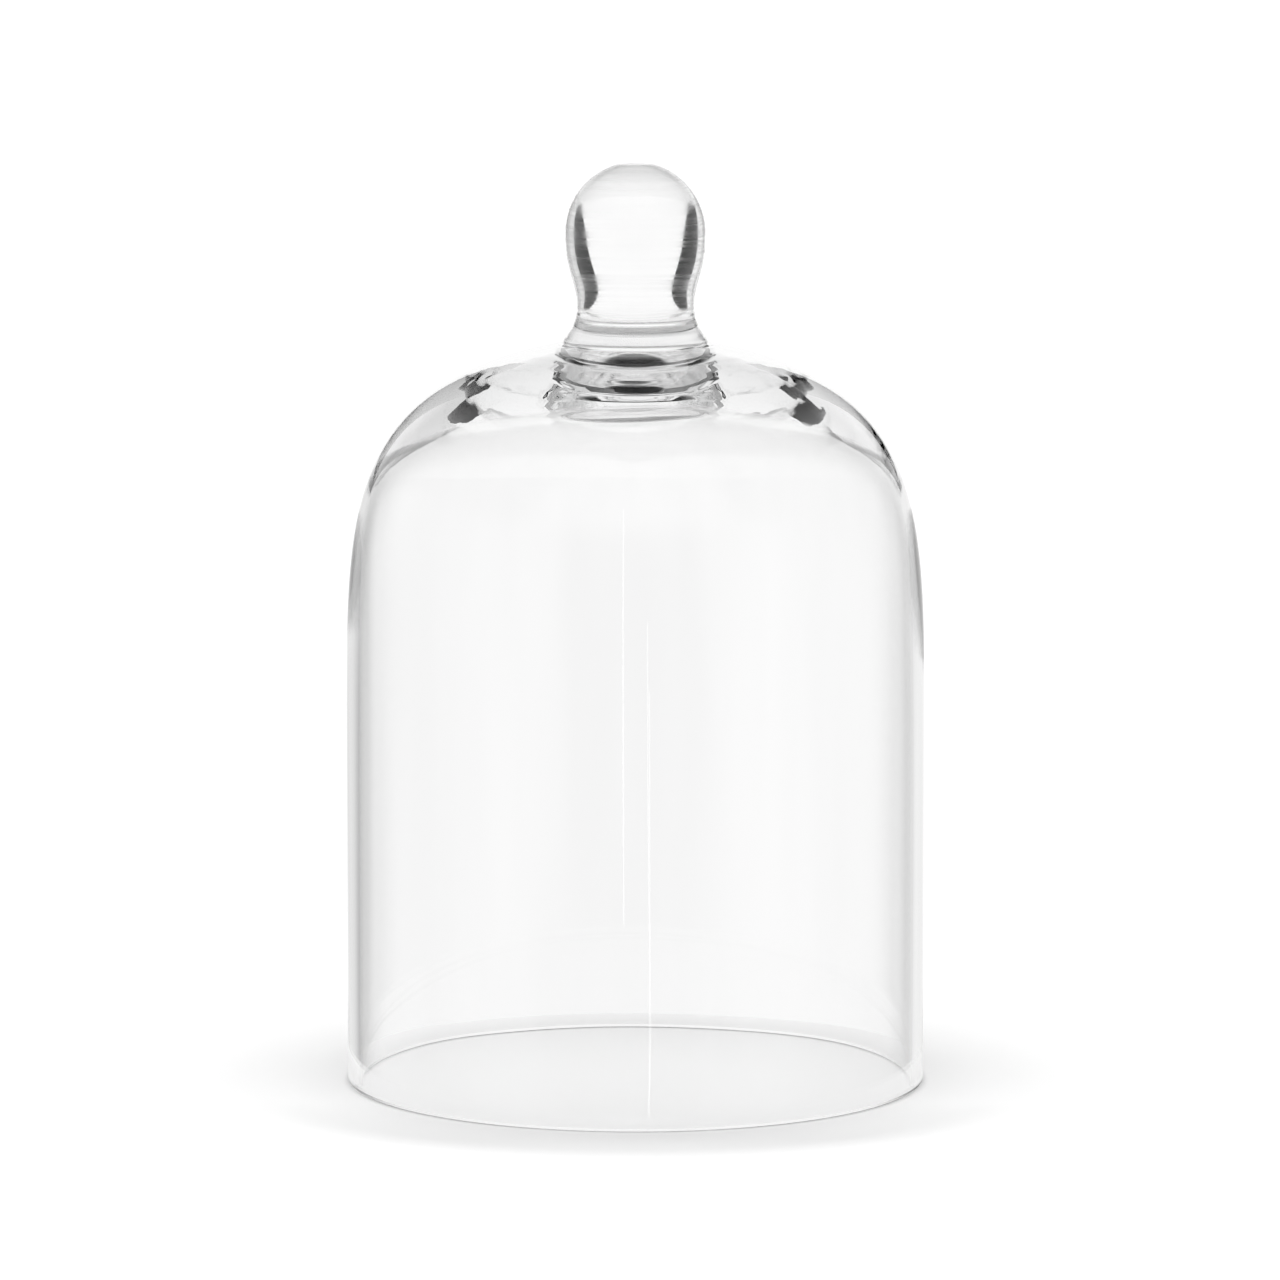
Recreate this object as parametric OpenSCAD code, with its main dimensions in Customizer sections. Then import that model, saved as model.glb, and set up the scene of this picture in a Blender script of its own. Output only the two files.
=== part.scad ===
/* [Bell] */
// Outer diameter of the straight wall
bell_d = 130; // [110:1:150]
// Thickness of the straight wall
wall = 2.8; // [2.6:0.1:3.2]
// Radius of the fire-polished edges of the rim
rim_r = 0.7; // [0.4:0.1:1]
// Height above the rim at which the outer face starts to curve in
shoulder_z = 50; // [48:1:54]
// Height above the rim of the crown's middle, as if it ran on under the knob
crown_z = 167.6; // [165:0.2:180]
// Power of the shoulder curve: a higher one gives a squarer bell
shoulder_power = 6; // [5.8:0.1:7]

/* [Hollow] */
// Height above the rim at which the inner face starts to curve in
hollow_shoulder_z = 88; // [84:1:90]
// Glass left between the top of the hollow and the middle of the crown
crown_thickness = 7; // [6:0.1:9]
// Power of the hollow's shoulder curve: a higher one gives a squarer hollow
hollow_power = 4.9; // [4.6:0.1:5]

/* [Knob] */
// Diameter of the ball
ball_d = 31.4; // [28:0.2:36]
// Diameter of the neck
neck_d = 26.2; // [22:0.2:27]
// Diameter of the flared foot
foot_d = 32.4; // [30:0.2:34]
// Height of the neck above the crown seat
neck_h = 9; // [7.5:0.1:10.5]
// Height of the ball's widest ring above the crown seat
ball_h = 25.4; // [23:0.2:30]
// Diameter of the flat at the top, where the knob was cut from the rod
cap_d = 8; // [2:0.5:12]
// Radius of the lip that rolls under the foot
foot_lip_r = 1; // [0.5:0.1:1.2]

/* [Crown seat] */
// How deep the foot has sunk into the soft crown
seat_depth = 0.7; // [0.5:0.1:1]
// Clear ring of seat around the foot
seat_margin = 0.2; // [0.1:0.1:0.5]
// Width of the slope from the crown down to the seat
seat_slope = 1.4; // [0.8:0.1:2]

/* [Hidden] */
$fn = 128;

// Points along each kind of curve
shoulder_steps = 36;
ball_steps = 24;
waist_steps = 18;
flare_steps = 10;
edge_steps = 5;
// Lowers the bend between ball and neck
waist_power = 1.3;

bell_r = bell_d / 2;
hollow_r = bell_r - wall;
hollow_top_z = crown_z - crown_thickness;
ball_r = ball_d / 2;
neck_r = neck_d / 2;
foot_r = foot_d / 2;
seat_r = foot_r + seat_margin;

// The foot's flare is a hollow arc that leaves the neck upright and runs smoothly into
// the round lip, whose lowest point is on the seat. lip_x is the centre of the lip.
lip_x = foot_r - foot_lip_r;
flare_drop = neck_h - foot_lip_r;
flare_r = (pow(lip_x - neck_r, 2) + pow(flare_drop, 2) - pow(foot_lip_r, 2)) / (2 * (foot_r - neck_r));
lip_angle = atan2(flare_drop, neck_r + flare_r - lip_x);

// Where the ball is cut flat at the top, as an angle above its widest ring
cap_angle = acos(cap_d / ball_d);
knob_h = ball_h + ball_r * sin(cap_angle);

// Height of a shoulder curve at radius r. The curve is vertical where it leaves
// the wall at z0, and level where it reaches z1 on the axis.
function shoulder_height(r, wall_r, z0, z1, power) =
    z0 + (z1 - z0) * pow(1 - pow(r / wall_r, 2), 1 / power);

// Radius of the same curve at height z
function shoulder_radius(z, wall_r, z0, z1, power) =
    wall_r * sqrt(1 - pow((z - z0) / (z1 - z0), power));

// Height of the bell's outer face at radius r, on the crown
function crown_height(r) = shoulder_height(r, bell_r, shoulder_z, crown_z, shoulder_power);

// Points up a shoulder curve, closer together near the top, where it turns fastest
function shoulder_points(wall_r, z0, z1, power) = [
    for (i = [0:shoulder_steps])
        let (z = z0 + (z1 - z0) * (1 - pow(1 - i / shoulder_steps, 2)))
        [shoulder_radius(z, wall_r, z0, z1, power), z]
];

// Points of an arc about (x, y), from angle a0 to a1
function arc_points(x, y, r, a0, a1, steps) = [
    for (i = [0:steps])
        let (a = a0 + (a1 - a0) * i / steps)
        [x + r * cos(a), y + r * sin(a)]
];

function reversed(points) = [for (i = [len(points) - 1:-1:0]) points[i]];

// The points without the first, where that one ends the curve before
function after_first(points) = [for (i = [1:len(points) - 1]) points[i]];

seat_z = crown_height(seat_r) - seat_depth;

// The blown bell: a straight wall that thins at the shoulder and gathers into a thick crown,
// with a shallow seat that the knob's foot left in it
module dome_shell() {
    seat_edge_r = seat_r + seat_slope;
    outer_curve = shoulder_points(bell_r, shoulder_z, crown_z, shoulder_power);
    outer = [for (p = outer_curve) if (p[0] > seat_edge_r + seat_slope / 4) p];
    seat = [[seat_edge_r, crown_height(seat_edge_r)], [seat_r, seat_z], [0, seat_z]];
    hollow = reversed(shoulder_points(hollow_r, hollow_shoulder_z, hollow_top_z, hollow_power));
    rim_outer = arc_points(bell_r - rim_r, rim_r, rim_r, -90, 0, edge_steps);
    rim_inner = arc_points(hollow_r + rim_r, rim_r, rim_r, 180, 270, edge_steps);
    color([0.86, 0.91, 0.92, 0.45])
        rotate_extrude()
            polygon(concat(rim_outer, outer, seat, hollow, rim_inner));
}

// The solid knob: a ball on a waisted neck, whose foot is fused to the crown
module knob() {
    lip = arc_points(lip_x, foot_lip_r, foot_lip_r, -90, lip_angle, edge_steps);
    flare = arc_points(neck_r + flare_r, neck_h, flare_r, 180 + lip_angle, 180, flare_steps);
    waist = [
        for (i = [1:waist_steps])
            let (s = 1 - i / waist_steps)
            [neck_r + (ball_r - neck_r) * (1 + cos(180 * pow(s, waist_power))) / 2,
             ball_h - (ball_h - neck_h) * s]
    ];
    ball = arc_points(0, ball_h, ball_r, 0, cap_angle, ball_steps);
    color([0.78, 0.85, 0.87, 0.6])
        translate([0, 0, seat_z])
            rotate_extrude()
                polygon(concat([[0, 0]], lip, after_first(flare), waist, after_first(ball), [[0, knob_h]]));
}

dome_shell();
knob();
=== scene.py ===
"""The looks of a blown-glass bell jar dome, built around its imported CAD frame."""

import math

import bmesh
import bpy
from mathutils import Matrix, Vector


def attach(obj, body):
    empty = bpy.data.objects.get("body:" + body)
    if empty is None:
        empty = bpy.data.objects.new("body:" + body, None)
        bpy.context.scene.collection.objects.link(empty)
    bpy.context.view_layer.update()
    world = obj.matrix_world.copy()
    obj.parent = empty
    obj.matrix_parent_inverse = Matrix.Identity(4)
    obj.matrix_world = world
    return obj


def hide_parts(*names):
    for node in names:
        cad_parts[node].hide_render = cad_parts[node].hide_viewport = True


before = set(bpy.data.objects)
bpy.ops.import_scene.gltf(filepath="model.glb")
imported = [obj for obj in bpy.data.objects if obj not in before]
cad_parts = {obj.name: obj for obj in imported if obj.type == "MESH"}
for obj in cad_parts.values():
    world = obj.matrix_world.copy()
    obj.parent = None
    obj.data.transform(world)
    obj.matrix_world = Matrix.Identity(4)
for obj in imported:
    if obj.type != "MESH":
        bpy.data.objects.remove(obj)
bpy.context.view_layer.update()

MM = 0.001

# How finely each profile is turned
DOME_SEGMENTS = 240
KNOB_SEGMENTS = 192
DOME_STEP = 1.15 * MM
KNOB_STEP = 0.45 * MM

# Two CAD rings closer than this are one ring
RING_TOLERANCE = 0.01 * MM

# The camera: a long lens, a little above the dome and looking slightly down
CAMERA_DISTANCE = 1.6
CAMERA_ELEVATION = math.radians(7.28)
CAMERA_LENS = 200.6
AIM_HEIGHT = 99.5 * MM
AIM_RIGHT = 1.0 * MM

GLASS_IOR = 1.5

# How far the glass wanders from the true shape, and the waves it wanders by: how many round the
# glass, phase, drift with height in radians per metre, and relative size
OUTER_DENT = 0.14 * MM
OUTER_WAVES = [(2, 0.6, 9.0, 1.0), (3, 2.1, -14.0, 0.6), (5, 4.0, 22.0, 0.25)]
INNER_SWELL = 0.1 * MM
INNER_WAVES = [(2, 3.4, 12.0, 1.0), (5, 1.3, -20.0, 0.5), (8, 0.2, 33.0, 0.3)]
CROWN_RIPPLE = 0.04 * MM
CROWN_WAVES = [(3, 0.4, 150.0, 1.0), (5, 2.6, -210.0, 0.8), (7, 5.1, 300.0, 0.5)]
KNOB_DENT = 0.12 * MM
KNOB_WAVES = [(2, 1.1, 60.0, 1.0), (3, 4.4, -110.0, 0.7)]
# Where the wandering sets in: away from the rim, the seat, the knob's foot and the axis, and for the
# ripples high in the crown
RIM_FADE = (1.5 * MM, 22 * MM)
SEAT_FADE = (0.6 * MM, 7 * MM)
HOLLOW_AXIS_FADE = (2 * MM, 30 * MM)
CROWN_FADE = (128 * MM, 150 * MM)
CROWN_AXIS_FADE = (1 * MM, 9 * MM)
FOOT_FADE = (2 * MM, 8 * MM)
KNOB_AXIS_FADE = (1 * MM, 5 * MM)

# Which slot of its materials each of a piece's first rings of faces takes: 0 is the glass itself,
# 1 the weld between the pieces, 2 the crevice round it, tinted dark as painted shade
BELL_SLOTS = {0: 1, 1: 2}
KNOB_SLOTS = {0: 1}

# Noise in the glass: features per metre level, features per metre upright, and detail
CORDS = (160, 14, 3)
SMUDGES = (45, 38, 4)
TOOL_MARKS = (34, 2200, 2)
STREAKS = (220, 60, 3)
CREVICE_SHADE = (70, 70, 2)
# What a noise is turned into: tint between two values over most of its range, or stops of
# (noise, roughness) and (noise, tint)
NOISE_RANGE = (0.3, 0.7)
BLOWN_TINT = (0.984, 0.998)
SOLID_TINT = (0.98, 0.998)
SMUDGE_ROUGHNESS = [(0.0, 0.0), (0.6, 0.0), (0.85, 0.02)]
TOOL_ROUGHNESS = [(0.0, 0.0), (0.45, 0.0), (0.57, 0.22), (1.0, 0.36)]
# Painted shade: the crevice's tint is near black, standing in for the shade that falls in it
CREVICE_PAINTED_SHADE_TINT = [(0.0, 0.01), (0.5, 0.02), (0.7, 0.5)]
# Depth of the fine relief: cords in the blown wall, tool marks on the knob
BLOWN_BUMP = 0.004 * MM
TOOL_BUMP = 0.005 * MM

# The table top near the dome, and the white sweep beyond it that the glass doesn't see
TABLE_RADIUS = 0.082
FLOOR_RADIUS = 14.0
FLOOR_SEGMENTS = 128
FLOOR_DROP = 0.05 * MM
# The floor is lit from below as well as from the studio, as a white light table is. Its glow, by
# distance from the axis as a share of GLOW_REACH, has a painted line of shade where the rim rests
# and a painted soft shadow just outside it.
FLOOR_ALBEDO = 0.8
GLOW_REACH = 0.1
FLOOR_GLOW_AND_PAINTED_SHADE = [
    (0.0, 0.56),
    (0.615, 0.56),
    (0.63, 0.28),
    (0.652, 0.28),
    (0.66, 0.44),
    (0.78, 0.5),
    (1.0, 0.56),
]
# A painted shadow of the dome on the floor in front of it, taken out of the floor's glow, by the
# same distance. It deepens towards the front, between two places on Y.
FRONT_PAINTED_SHADOW = [
    (0.0, 0.0),
    (0.655, 0.0),
    (0.665, 1.0),
    (0.84, 0.9),
    (0.97, 0.0),
]
FRONT_PAINTED_SHADOW_FROM = -30 * MM
FRONT_PAINTED_SHADOW_TO = -72 * MM
FRONT_PAINTED_SHADOW_DEPTH = 0.22

# A ring of cards at the height of the knob: the backdrop with a black flag at each side of it, which
# draw its clear middle and its dark edges. Each has two edges, as degrees from straight behind,
# positive to the right: how far round the edge is at the foot, and where it settles higher up.
# Last come the height of the card's head and how bright it is.
CARD_DISTANCE = 0.125
CARD_FOOT = 0.14
CARD_COLUMNS = 16
CARD_ROWS = 12
EDGE_POWER = 4
EDGE_HEIGHT = 0.2
CARDS = [
    ("flag_left", (-51, -43), (-39, -19), 0.222, 0.0),
    ("backdrop", (-39, -19), (42, 19), 0.212, 1.0),
    ("flag_right", (42, 19), (49, 41), 0.222, 0.0),
]

# The strip light: degrees to the right of the camera, its reach, size and brightness
STRIP_AZIMUTH = 5.2
STRIP_DISTANCE = 1.2
STRIP_WIDTH = 8 * MM
STRIP_FOOT = -0.4
STRIP_HEAD = -0.02
STRIP_BRIGHTNESS = 3.2


# ---------------------------------------------------------------- profiles from the frame


def cad_rings(node):
    """The rings of a turned CAD node as (radius, height), with which ring each ring joins."""
    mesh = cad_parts[node].data
    rings = []
    ring_of = []
    for vertex in mesh.vertices:
        place = Vector((math.hypot(vertex.co.x, vertex.co.y), vertex.co.z))
        near = [i for i, ring in enumerate(rings) if (ring - place).length < RING_TOLERANCE]
        if not near:
            near = [len(rings)]
            rings.append(place)
        ring_of.append(near[0])
    joined = [set() for _ in rings]
    for edge in mesh.edges:
        a, b = (ring_of[v] for v in edge.vertices)
        if a != b:
            joined[a].add(b)
            joined[b].add(a)
    return rings, joined


def cad_profile(node):
    """The outline that the CAD node is turned from: a chain of (radius, height) between its flat ends."""
    rings, joined = cad_rings(node)
    ends = [i for i, others in enumerate(joined) if len(others) == 1]
    chain = [min(ends, key=lambda i: rings[i].y)]
    while True:
        onward = [i for i in joined[chain[-1]] if i not in chain]
        if not onward:
            break
        chain.append(onward[0])
    return [rings[i] for i in chain]


def smooth_profile(points, step):
    """A smooth curve through the points, with points along it about a step apart."""
    last = len(points) - 1
    tangents = [
        (points[min(i + 1, last)] - points[max(i - 1, 0)]).normalized() for i in range(last + 1)
    ]
    curve = [points[0].copy()]
    for i in range(last):
        start, end = points[i], points[i + 1]
        span = (end - start).length
        pieces = max(1, math.ceil(span / step))
        for k in range(1, pieces + 1):
            t = k / pieces
            curve.append(
                start * (2 * t**3 - 3 * t**2 + 1)
                + tangents[i] * span * (t**3 - 2 * t**2 + t)
                + end * (3 * t**2 - 2 * t**3)
                + tangents[i + 1] * span * (t**3 - t**2)
            )
    return curve


# ---------------------------------------------------------------- turning a profile into glass


def turn(name, rows, segments, displace, slots, materials):
    """A closed body turned from rows of (radius, height). A row on the axis becomes one point.
    displace(radius, height, angle, row) gives the real radius and height of a point.
    slots gives the material of the faces that start at a row, where it isn't the first one."""
    bm = bmesh.new()
    grid = []
    for row, (radius, height) in enumerate(rows):
        if radius < RING_TOLERANCE:
            grid.append([bm.verts.new((0.0, 0.0, height))])
            continue
        ring = []
        for k in range(segments):
            angle = 2 * math.pi * k / segments
            r, z = displace(radius, height, angle, row)
            ring.append(bm.verts.new((r * math.cos(angle), r * math.sin(angle), z)))
        grid.append(ring)
    for row in range(len(grid) - 1):
        low, high = grid[row], grid[row + 1]
        for k in range(segments):
            n = (k + 1) % segments
            if len(low) == 1:
                face = bm.faces.new((low[0], high[n], high[k]))
            elif len(high) == 1:
                face = bm.faces.new((low[k], low[n], high[0]))
            else:
                face = bm.faces.new((low[k], low[n], high[n], high[k]))
            face.smooth = True
            face.material_index = slots.get(row, 0)
    bmesh.ops.recalc_face_normals(bm, faces=bm.faces)
    mesh = bpy.data.meshes.new(name)
    bm.to_mesh(mesh)
    bm.free()
    for material in materials:
        mesh.materials.append(material)
    piece = bpy.data.objects.new(name, mesh)
    bpy.context.scene.collection.objects.link(piece)
    return piece


def fade(value, span):
    """Rises smoothly from 0 at the start of the span to 1 at its end."""
    start, end = span
    t = min(1.0, max(0.0, (value - start) / (end - start)))
    return t * t * (3 - 2 * t)


def waves(angle, height, table):
    """A sum of waves round the glass, which drift round with height, between -1 and 1."""
    total = 0.0
    sizes = 0.0
    for count, phase, twist, size in table:
        total += size * math.sin(count * angle + phase + twist * height)
        sizes += size
    return total / sizes


def blown(seat_z, rim_row):
    """Hand-blown glass is never quite round: its outside sits a hair inside the true shape, its
    inside wanders a little, and the underside of the crown is softly rippled."""

    def displace(radius, height, angle, row):
        clear_of_rim = fade(height, RIM_FADE)
        if row <= rim_row:
            clear_of_seat = fade(seat_z - height, SEAT_FADE)
            dent = OUTER_DENT * (1 + waves(angle, height, OUTER_WAVES)) / 2
            return radius - dent * clear_of_rim * clear_of_seat, height
        on_crown = fade(height, CROWN_FADE) * fade(radius, CROWN_AXIS_FADE)
        clear_of_axis = fade(radius, HOLLOW_AXIS_FADE)
        radius += INNER_SWELL * waves(angle, height, INNER_WAVES) * clear_of_rim * clear_of_axis
        height += CROWN_RIPPLE * waves(angle, radius, CROWN_WAVES) * on_crown
        return radius, height

    return displace


def shaped_by_hand(seat_z):
    """The knob was turned and pressed to shape hot, so it is a trace out of round above its foot."""

    def displace(radius, height, angle, row):
        clear_of_foot = fade(height - seat_z, FOOT_FADE)
        dent = KNOB_DENT * (1 + waves(angle, height, KNOB_WAVES)) / 2
        return radius - dent * clear_of_foot * fade(radius, KNOB_AXIS_FADE), height

    return displace


# ---------------------------------------------------------------- materials


def new_material(name):
    material = bpy.data.materials.new(name)
    material.use_nodes = True
    material.node_tree.nodes.clear()
    return material, material.node_tree.nodes, material.node_tree.links


def stretched_noise(nodes, links, grain):
    """Noise in object space, drawn out by a grain of (level, upright, detail)."""
    across, along, detail = grain
    coordinates = nodes.new("ShaderNodeTexCoord")
    mapping = nodes.new("ShaderNodeMapping")
    mapping.inputs["Scale"].default_value = (across, across, along)
    noise = nodes.new("ShaderNodeTexNoise")
    noise.inputs["Scale"].default_value = 1.0
    noise.inputs["Detail"].default_value = detail
    links.new(coordinates.outputs["Object"], mapping.inputs["Vector"])
    links.new(mapping.outputs["Vector"], noise.inputs["Vector"])
    return noise.outputs["Fac"]


def ramp_node(nodes, links, source, stops):
    """A colour ramp over a value between 0 and 1; stops are (value, grey)."""
    ramp = nodes.new("ShaderNodeValToRGB")
    elements = ramp.color_ramp.elements
    while len(elements) < len(stops):
        elements.new(0.5)
    for element, (place, grey) in zip(elements, stops):
        element.position = place
        element.color = (grey, grey, grey, 1.0)
    links.new(source, ramp.inputs["Fac"])
    return ramp.outputs["Color"]


def range_node(nodes, links, source, source_range, result_range=(0.0, 1.0), interpolation="LINEAR"):
    """Maps a value from one range to another, and holds it at the ends."""
    node = nodes.new("ShaderNodeMapRange")
    node.interpolation_type = interpolation
    node.inputs["From Min"].default_value = source_range[0]
    node.inputs["From Max"].default_value = source_range[1]
    node.inputs["To Min"].default_value = result_range[0]
    node.inputs["To Max"].default_value = result_range[1]
    links.new(source, node.inputs["Value"])
    return node.outputs["Result"]


def math_node(nodes, links, operation, first, second=None):
    """A Math node; each input is a socket or a number."""
    node = nodes.new("ShaderNodeMath")
    node.operation = operation
    for socket, value in zip(node.inputs, (first, second)):
        if isinstance(value, (int, float)):
            socket.default_value = value
        elif value is not None:
            links.new(value, socket)
    return node.outputs[0]


def split_node(nodes, links, vector):
    split = nodes.new("ShaderNodeSeparateXYZ")
    links.new(vector, split.inputs["Vector"])
    return split.outputs


def glass_nodes(name):
    material, nodes, links = new_material(name)
    output = nodes.new("ShaderNodeOutputMaterial")
    glass = nodes.new("ShaderNodeBsdfPrincipled")
    glass.inputs["Transmission Weight"].default_value = 1.0
    glass.inputs["IOR"].default_value = GLASS_IOR
    links.new(glass.outputs["BSDF"], output.inputs["Surface"])
    return material, nodes, links, glass


def add_bump(nodes, links, glass, height, distance):
    bump = nodes.new("ShaderNodeBump")
    bump.inputs["Distance"].default_value = distance
    links.new(height, bump.inputs["Height"])
    links.new(bump.outputs["Normal"], glass.inputs["Normal"])


def blown_glass():
    """Thin blown glass: faint upright cords in its tint and surface, and a trace of haze from handling."""
    material, nodes, links, glass = glass_nodes("blown_glass")
    cords = stretched_noise(nodes, links, CORDS)
    links.new(range_node(nodes, links, cords, NOISE_RANGE, BLOWN_TINT), glass.inputs["Base Color"])
    smudges = stretched_noise(nodes, links, SMUDGES)
    links.new(ramp_node(nodes, links, smudges, SMUDGE_ROUGHNESS), glass.inputs["Roughness"])
    add_bump(nodes, links, glass, cords, BLOWN_BUMP)
    return material


def tooled_glass():
    """Solid glass worked with wet tools: fine level marks round it, and faint streaks in its tint."""
    material, nodes, links, glass = glass_nodes("tooled_glass")
    marks = stretched_noise(nodes, links, TOOL_MARKS)
    links.new(ramp_node(nodes, links, marks, TOOL_ROUGHNESS), glass.inputs["Roughness"])
    streaks = stretched_noise(nodes, links, STREAKS)
    links.new(range_node(nodes, links, streaks, NOISE_RANGE, SOLID_TINT), glass.inputs["Base Color"])
    add_bump(nodes, links, glass, marks, TOOL_BUMP)
    return material


def crevice_painted_shade_glass():
    """The ring of the seat under the foot's lip, tinted near black unevenly as painted shade of the
    crevice.
    """
    material, nodes, links, glass = glass_nodes("crevice_painted_shade_glass")
    shade = stretched_noise(nodes, links, CREVICE_SHADE)
    links.new(ramp_node(nodes, links, shade, CREVICE_PAINTED_SHADE_TINT), glass.inputs["Base Color"])
    return material


def weld_material():
    """The fused face between knob and crown: glass runs on through it, so light passes straight."""
    material, nodes, links = new_material("fused_joint")
    output = nodes.new("ShaderNodeOutputMaterial")
    clear = nodes.new("ShaderNodeBsdfTransparent")
    links.new(clear.outputs["BSDF"], output.inputs["Surface"])
    return material


def radial_ramp(nodes, links, place, stops):
    """A ramp over the distance of a place from the origin, as a share of GLOW_REACH."""
    distance = nodes.new("ShaderNodeVectorMath")
    distance.operation = "LENGTH"
    links.new(place, distance.inputs[0])
    reach = math_node(nodes, links, "DIVIDE", distance.outputs["Value"], GLOW_REACH)
    return ramp_node(nodes, links, reach, stops)


def floor_material():
    material, nodes, links = new_material("studio_floor_painted_shadow")
    output = nodes.new("ShaderNodeOutputMaterial")
    diffuse = nodes.new("ShaderNodeBsdfDiffuse")
    diffuse.inputs["Color"].default_value = (FLOOR_ALBEDO, FLOOR_ALBEDO, FLOOR_ALBEDO, 1.0)
    place = nodes.new("ShaderNodeTexCoord").outputs["Object"]
    # Painted shadow: the floor's glow is taken down in a band in front of the dome
    depth_range = (FRONT_PAINTED_SHADOW_TO, FRONT_PAINTED_SHADOW_FROM)
    painted_shadow_depth = range_node(
        nodes, links, split_node(nodes, links, place)["Y"], depth_range, (FRONT_PAINTED_SHADOW_DEPTH, 0.0)
    )
    painted_shadow_band = radial_ramp(nodes, links, place, FRONT_PAINTED_SHADOW)
    # Painted shade: the floor's glow dips into a painted line of shade under the rim and a painted soft
    # shadow round the base
    light = radial_ramp(nodes, links, place, FLOOR_GLOW_AND_PAINTED_SHADE)
    painted_shadow = math_node(nodes, links, "MULTIPLY", painted_shadow_depth, painted_shadow_band)
    glow = nodes.new("ShaderNodeEmission")
    links.new(math_node(nodes, links, "SUBTRACT", light, painted_shadow), glow.inputs["Strength"])
    both = nodes.new("ShaderNodeAddShader")
    links.new(diffuse.outputs["BSDF"], both.inputs[0])
    links.new(glow.outputs["Emission"], both.inputs[1])
    links.new(both.outputs["Shader"], output.inputs["Surface"])
    return material


# ---------------------------------------------------------------- pieces


def make_bell(seat_z, contact_r, weld):
    profile = cad_profile("dome_shell")
    if profile[0].x < RING_TOLERANCE:
        profile.reverse()
    rows = [Vector((0.0, seat_z)), Vector((contact_r, seat_z))] + smooth_profile(profile, DOME_STEP)
    rim_row = min(range(len(rows)), key=lambda i: rows[i].y)
    materials = [blown_glass(), weld, crevice_painted_shade_glass()]
    return turn("glass_bell", rows, DOME_SEGMENTS, blown(seat_z, rim_row), BELL_SLOTS, materials)


def make_knob(profile, seat_z, weld):
    rows = smooth_profile(profile, KNOB_STEP)
    rows = [Vector((0.0, seat_z))] + rows + [Vector((0.0, rows[-1].y))]
    materials = [tooled_glass(), weld]
    return turn("glass_knob", rows, KNOB_SEGMENTS, shaped_by_hand(seat_z), KNOB_SLOTS, materials)


def make_glass():
    """The bell and the knob, which meet in a flat round face on the seat."""
    knob_profile = cad_profile("knob")
    contact_r, seat_z = knob_profile[0]
    weld = weld_material()
    return make_bell(seat_z, contact_r, weld), make_knob(knob_profile, seat_z, weld)


# ---------------------------------------------------------------- studio


def flat_ring(name, inner_radius, outer_radius, segments, material):
    """A level ring on the ground, or a disc when the inner radius is nothing."""
    bm = bmesh.new()
    outer = bmesh.ops.create_circle(bm, cap_ends=inner_radius == 0, radius=outer_radius, segments=segments)
    if inner_radius:
        inner = bmesh.ops.create_circle(bm, cap_ends=False, radius=inner_radius, segments=segments)
        near, far = inner["verts"], outer["verts"]
        for k in range(segments):
            n = (k + 1) % segments
            bm.faces.new((near[k], far[k], far[n], near[n]))
    bmesh.ops.recalc_face_normals(bm, faces=bm.faces)
    mesh = bpy.data.meshes.new(name)
    bm.to_mesh(mesh)
    bm.free()
    mesh.materials.append(material)
    ground = bpy.data.objects.new(name, mesh)
    ground.location.z = -FLOOR_DROP
    bpy.context.scene.collection.objects.link(ground)
    return ground


def make_floor():
    material = floor_material()
    flat_ring("studio_table", 0, TABLE_RADIUS, FLOOR_SEGMENTS, material)
    sweep = flat_ring("studio_sweep", TABLE_RADIUS, FLOOR_RADIUS, FLOOR_SEGMENTS, material)
    sweep.visible_glossy = False
    sweep.visible_transmission = False


def card_material(name, brightness):
    material, nodes, links = new_material(name)
    output = nodes.new("ShaderNodeOutputMaterial")
    light = nodes.new("ShaderNodeEmission")
    light.inputs["Strength"].default_value = brightness
    links.new(light.outputs["Emission"], output.inputs["Surface"])
    return material


def stage_card(name, bm, brightness):
    """Makes a glowing card of what bm holds. Only the glass sees it."""
    mesh = bpy.data.meshes.new(name)
    bm.to_mesh(mesh)
    bm.free()
    mesh.materials.append(card_material(name, brightness))
    card = bpy.data.objects.new(name, mesh)
    card.visible_camera = False
    card.visible_diffuse = False
    card.visible_shadow = False
    bpy.context.scene.collection.objects.link(card)


def card_edge(edge, height):
    """How far round one edge of a card is, in degrees, at a height on it."""
    foot, upper = edge
    left_to_go = max(0, 1 - (height - CARD_FOOT) / EDGE_HEIGHT) ** EDGE_POWER
    return upper + (foot - upper) * left_to_go


def make_cards():
    """Curved cards round the back of the dome."""
    for name, first, last, head, brightness in CARDS:
        bm = bmesh.new()
        columns = []
        for k in range(CARD_COLUMNS + 1):
            across = k / CARD_COLUMNS
            column = []
            for j in range(CARD_ROWS + 1):
                height = CARD_FOOT + (head - CARD_FOOT) * j / CARD_ROWS
                left = card_edge(first, height)
                azimuth = math.radians(left + (card_edge(last, height) - left) * across)
                place = (CARD_DISTANCE * math.sin(azimuth), CARD_DISTANCE * math.cos(azimuth), height)
                column.append(bm.verts.new(place))
            columns.append(column)
        for low, high in zip(columns, columns[1:]):
            for j in range(CARD_ROWS):
                bm.faces.new((low[j], high[j], high[j + 1], low[j + 1]))
        stage_card(name, bm, brightness)


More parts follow.
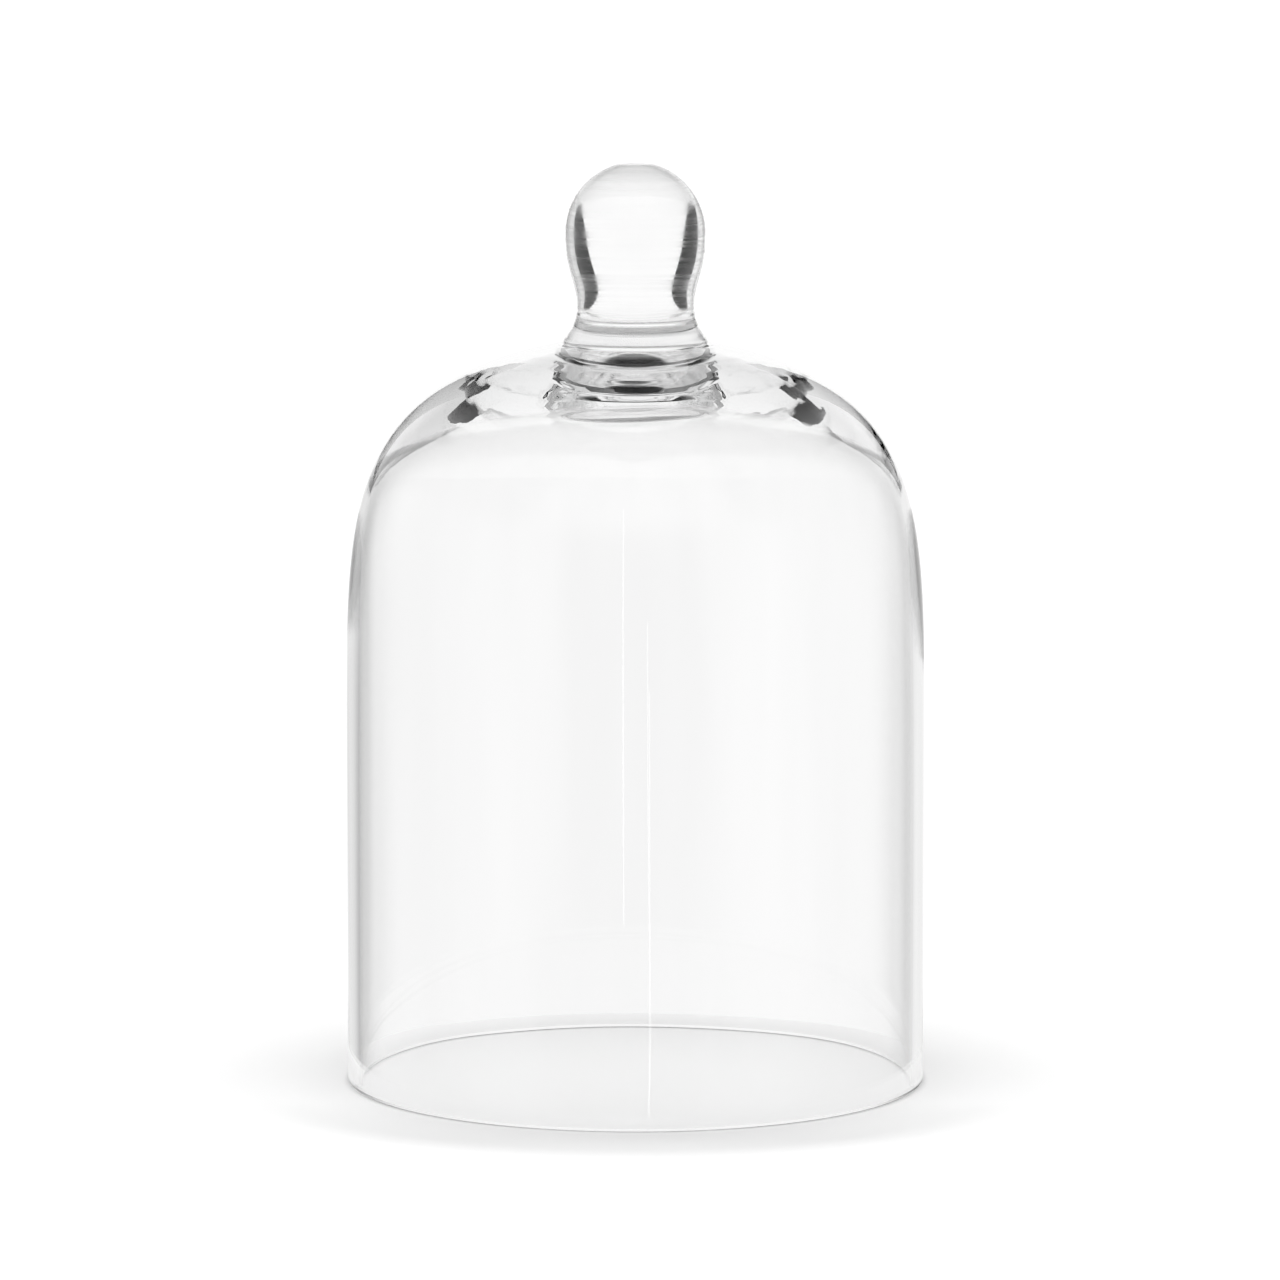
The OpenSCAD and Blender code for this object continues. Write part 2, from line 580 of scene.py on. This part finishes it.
# Brightness of the studio round the dome, low down: degrees from straight behind it, positive to
# the right, and how bright it is there. Backdrop, grey gaps, side softboxes, dimmer room in front.
STUDIO_RING = [
    (-180, 0.65),
    (-155, 0.7),
    (-135, 0.95),
    (-120, 1.0),
    (-90, 0.9),
    (-62, 1.0),
    (-54, 0.9),
    (-45, 0.6),
    (-38, 0.4),
    (-33, 0.4),
    (-27, 0.7),
    (-20, 0.8),
    (-14, 0.75),
    (-8, 0.95),
    (8, 1.0),
    (15, 0.85),
    (28, 0.9),
    (38, 0.5),
    (44, 0.5),
    (56, 0.75),
    (90, 0.8),
    (125, 1.0),
    (140, 0.95),
    (155, 0.75),
    (180, 0.65),
]
# The same for what hangs overhead: degrees from straight behind, either side
STUDIO_TOP = [
    (0, 0.0),
    (32, 0.0),
    (42, 0.3),
    (52, 0.65),
    (64, 0.8),
    (126, 0.8),
    (136, 1.0),
    (180, 1.0),
]
# Where the ring of walls gives way to what hangs overhead, as heights on a unit sphere
TOP_BLEND = (math.sin(math.radians(16)), math.sin(math.radians(32)))
# Where the white table below the horizon gives way to the walls
TABLE_BLEND = (math.sin(math.radians(-20)), math.sin(math.radians(-13)))
# The table is brighter towards the backdrop, by how far a direction points straight back
TABLE_SIDE = (0.66, 0.86)
TABLE_SIDE_BRIGHTNESS = 0.88
TABLE_BRIGHTNESS = 0.95
WHITE = (1.0, 1.0, 1.0, 1.0)


def make_strip():
    """A narrow upright strip light beside the camera, which draws a thin bright line down the glass."""
    bm = bmesh.new()
    azimuth = math.radians(STRIP_AZIMUTH)
    centre = Vector((STRIP_DISTANCE * math.sin(azimuth), -STRIP_DISTANCE * math.cos(azimuth), 0.0))
    side = Vector((math.cos(azimuth), math.sin(azimuth), 0.0)) * STRIP_WIDTH / 2
    foot, head = Vector((0.0, 0.0, STRIP_FOOT)), Vector((0.0, 0.0, STRIP_HEAD))
    corners = (centre - side + foot, centre + side + foot, centre + side + head, centre - side + head)
    bm.faces.new([bm.verts.new(corner) for corner in corners])
    stage_card("strip_light", bm, STRIP_BRIGHTNESS)


def mix_node(nodes, links, share, first, second):
    """The first colour, giving way to the second as the share goes from 0 to 1."""
    mix = nodes.new("ShaderNodeMixRGB")
    for socket, source in zip(mix.inputs, (share, first, second)):
        if isinstance(source, tuple):
            socket.default_value = source
        else:
            links.new(source, socket)
    return mix.outputs["Color"]


def studio_by_direction(nodes, links):
    """Colour of the studio in each direction: walls all round, lights above, the table below."""
    direction = split_node(nodes, links, nodes.new("ShaderNodeTexCoord").outputs["Generated"])
    azimuth = math_node(nodes, links, "ARCTAN2", direction["X"], direction["Y"])

    turned = math_node(nodes, links, "DIVIDE", azimuth, 2 * math.pi)
    round_once = math_node(nodes, links, "ADD", turned, 0.5)
    ring_stops = [((degrees + 180) / 360, brightness) for degrees, brightness in STUDIO_RING]
    ring = ramp_node(nodes, links, round_once, ring_stops)

    turned_away = math_node(nodes, links, "ABSOLUTE", azimuth)
    half_round = math_node(nodes, links, "DIVIDE", turned_away, math.pi)
    top_stops = [(degrees / 180, brightness) for degrees, brightness in STUDIO_TOP]
    top = ramp_node(nodes, links, half_round, top_stops)

    table_levels = (TABLE_SIDE_BRIGHTNESS, TABLE_BRIGHTNESS)
    table = range_node(nodes, links, direction["Y"], TABLE_SIDE, table_levels)
    above_table = range_node(nodes, links, direction["Z"], TABLE_BLEND, interpolation="SMOOTHSTEP")
    overhead = range_node(nodes, links, direction["Z"], TOP_BLEND, interpolation="SMOOTHSTEP")
    walls = mix_node(nodes, links, above_table, table, ring)
    return mix_node(nodes, links, overhead, walls, top)


def make_world():
    world = bpy.data.worlds.new("studio")
    world.use_nodes = True
    nodes, links = world.node_tree.nodes, world.node_tree.links
    nodes.clear()
    output = nodes.new("ShaderNodeOutputWorld")
    background = nodes.new("ShaderNodeBackground")
    background.inputs["Strength"].default_value = 1.0
    # Behind everything the camera itself sees plain white
    path = nodes.new("ShaderNodeLightPath")
    room = studio_by_direction(nodes, links)
    seen = mix_node(nodes, links, path.outputs["Is Camera Ray"], room, WHITE)
    links.new(seen, background.inputs["Color"])
    links.new(background.outputs["Background"], output.inputs["Surface"])
    bpy.context.scene.world = world


def make_camera():
    lens = bpy.data.cameras.new("camera")
    lens.lens = CAMERA_LENS
    lens.sensor_width = 36.0
    lens.clip_start = 0.05
    lens.clip_end = 100.0
    camera = bpy.data.objects.new("camera", lens)
    aim = Vector((AIM_RIGHT, 0.0, AIM_HEIGHT))
    back = Vector((0.0, -math.cos(CAMERA_ELEVATION), math.sin(CAMERA_ELEVATION)))
    camera.location = aim + back * CAMERA_DISTANCE
    camera.rotation_mode = "QUATERNION"
    camera.rotation_quaternion = (-back).to_track_quat("-Z", "Y")
    bpy.context.scene.collection.objects.link(camera)
    bpy.context.scene.camera = camera


def set_light_paths():
    """Thick glass needs many bounces, because light runs round inside it."""
    scene = bpy.context.scene
    scene.view_settings.view_transform = "Standard"
    scene.cycles.max_bounces = 48
    scene.cycles.glossy_bounces = 32
    scene.cycles.transmission_bounces = 48
    scene.cycles.transparent_max_bounces = 32
    scene.cycles.diffuse_bounces = 4


make_camera()
set_light_paths()
make_world()
make_floor()
make_cards()
make_strip()

dome, knob = make_glass()

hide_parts("dome_shell")
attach(dome, "root")
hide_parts("knob")
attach(knob, "root")
